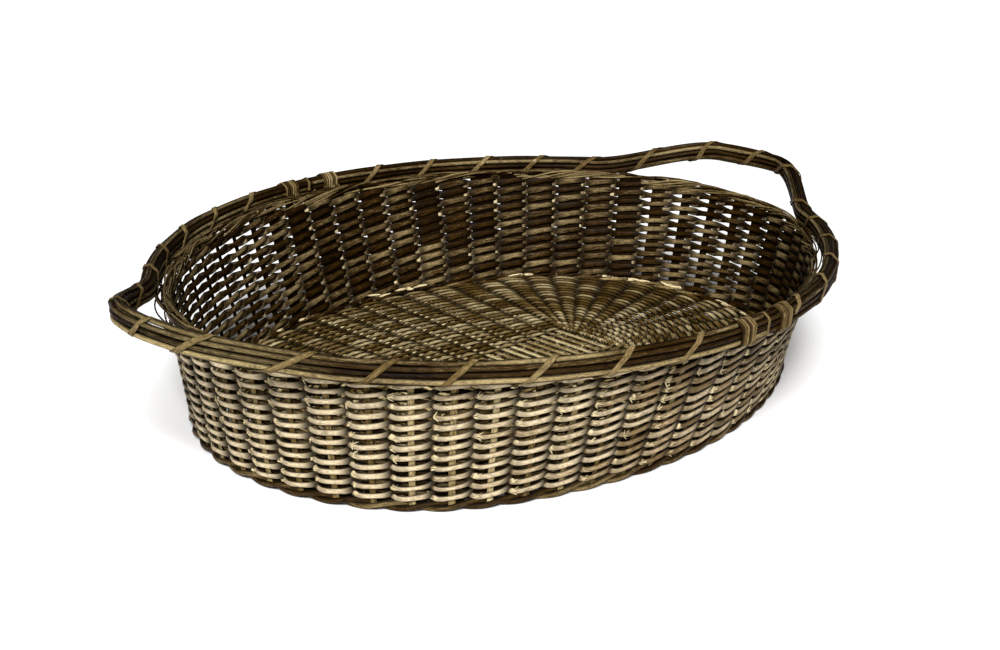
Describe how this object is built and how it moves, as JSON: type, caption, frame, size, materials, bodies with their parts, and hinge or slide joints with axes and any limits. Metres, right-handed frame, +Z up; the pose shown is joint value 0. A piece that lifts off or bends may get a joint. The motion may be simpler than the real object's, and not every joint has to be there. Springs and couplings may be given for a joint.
{
  "type": "winnowing basket",
  "caption": "Shallow oval cane basket for tossing grain, with a round-rod rim that stands out as a loop handle at each end.",
  "frame": {"origin": "middle of the base, on the surface that the basket stands on", "axes": "+X along the basket from handle to handle, +Y across it, +Z up"},
  "size_m": [0.7952, 0.566, 0.1604],
  "materials": {
    "round_rod": "satin",
    "flat_lashing": "satin",
    "wall_weft": "matte",
    "split_stake": "matte",
    "base_weft": "matte",
    "border_strand": "matte"
  },
  "bodies": {
    "root": {"base_cross_sticks": "split_stake", "base_long_sticks": "split_stake", "base_weave_lower_inner": "base_weft", "base_weave_lower_middle": "base_weft", "base_weave_lower_outer": "base_weft", "base_weave_upper_inner": "base_weft", "base_weave_upper_middle": "base_weft", "base_weave_upper_outer": "base_weft", "foot_border_inner_strand": "border_strand", "foot_border_outer_strand": "border_strand", "joint_binding_far": "flat_lashing", "joint_binding_near": "flat_lashing", "lashing_handle_left": "flat_lashing", "lashing_handle_right": "flat_lashing", "lashing_side_far": "flat_lashing", "lashing_side_near": "flat_lashing", "rim_rod_left_01": "round_rod", "rim_rod_left_02": "round_rod", "rim_rod_left_03": "round_rod", "rim_rod_left_04": "round_rod", "rim_rod_left_05": "round_rod", "rim_rod_left_06": "round_rod", "rim_rod_left_07": "round_rod", "rim_rod_left_08": "round_rod", "rim_rod_left_09": "round_rod", "rim_rod_left_10": "round_rod", "rim_rod_right_01": "round_rod", "rim_rod_right_02": "round_rod", "rim_rod_right_03": "round_rod", "rim_rod_right_04": "round_rod", "rim_rod_right_05": "round_rod", "rim_rod_right_06": "round_rod", "rim_rod_right_07": "round_rod", "rim_rod_right_08": "round_rod", "rim_rod_right_09": "round_rod", "rim_rod_right_10": "round_rod", "top_border_inner_strand": "border_strand", "top_border_outer_strand": "border_strand", "top_border_top_strand": "border_strand", "wall_stakes_end_left": "split_stake", "wall_stakes_end_right": "split_stake", "wall_stakes_side_far": "split_stake", "wall_stakes_side_near": "split_stake", "wall_weft_row_01": "wall_weft", "wall_weft_row_02": "wall_weft", "wall_weft_row_03": "wall_weft", "wall_weft_row_04": "wall_weft", "wall_weft_row_05": "wall_weft", "wall_weft_row_06": "wall_weft", "wall_weft_row_07": "wall_weft", "wall_weft_row_08": "wall_weft", "wall_weft_row_09": "wall_weft", "wall_weft_row_10": "wall_weft", "wall_weft_row_11": "wall_weft", "wall_weft_row_12": "wall_weft"}
  },
  "joints": []
}
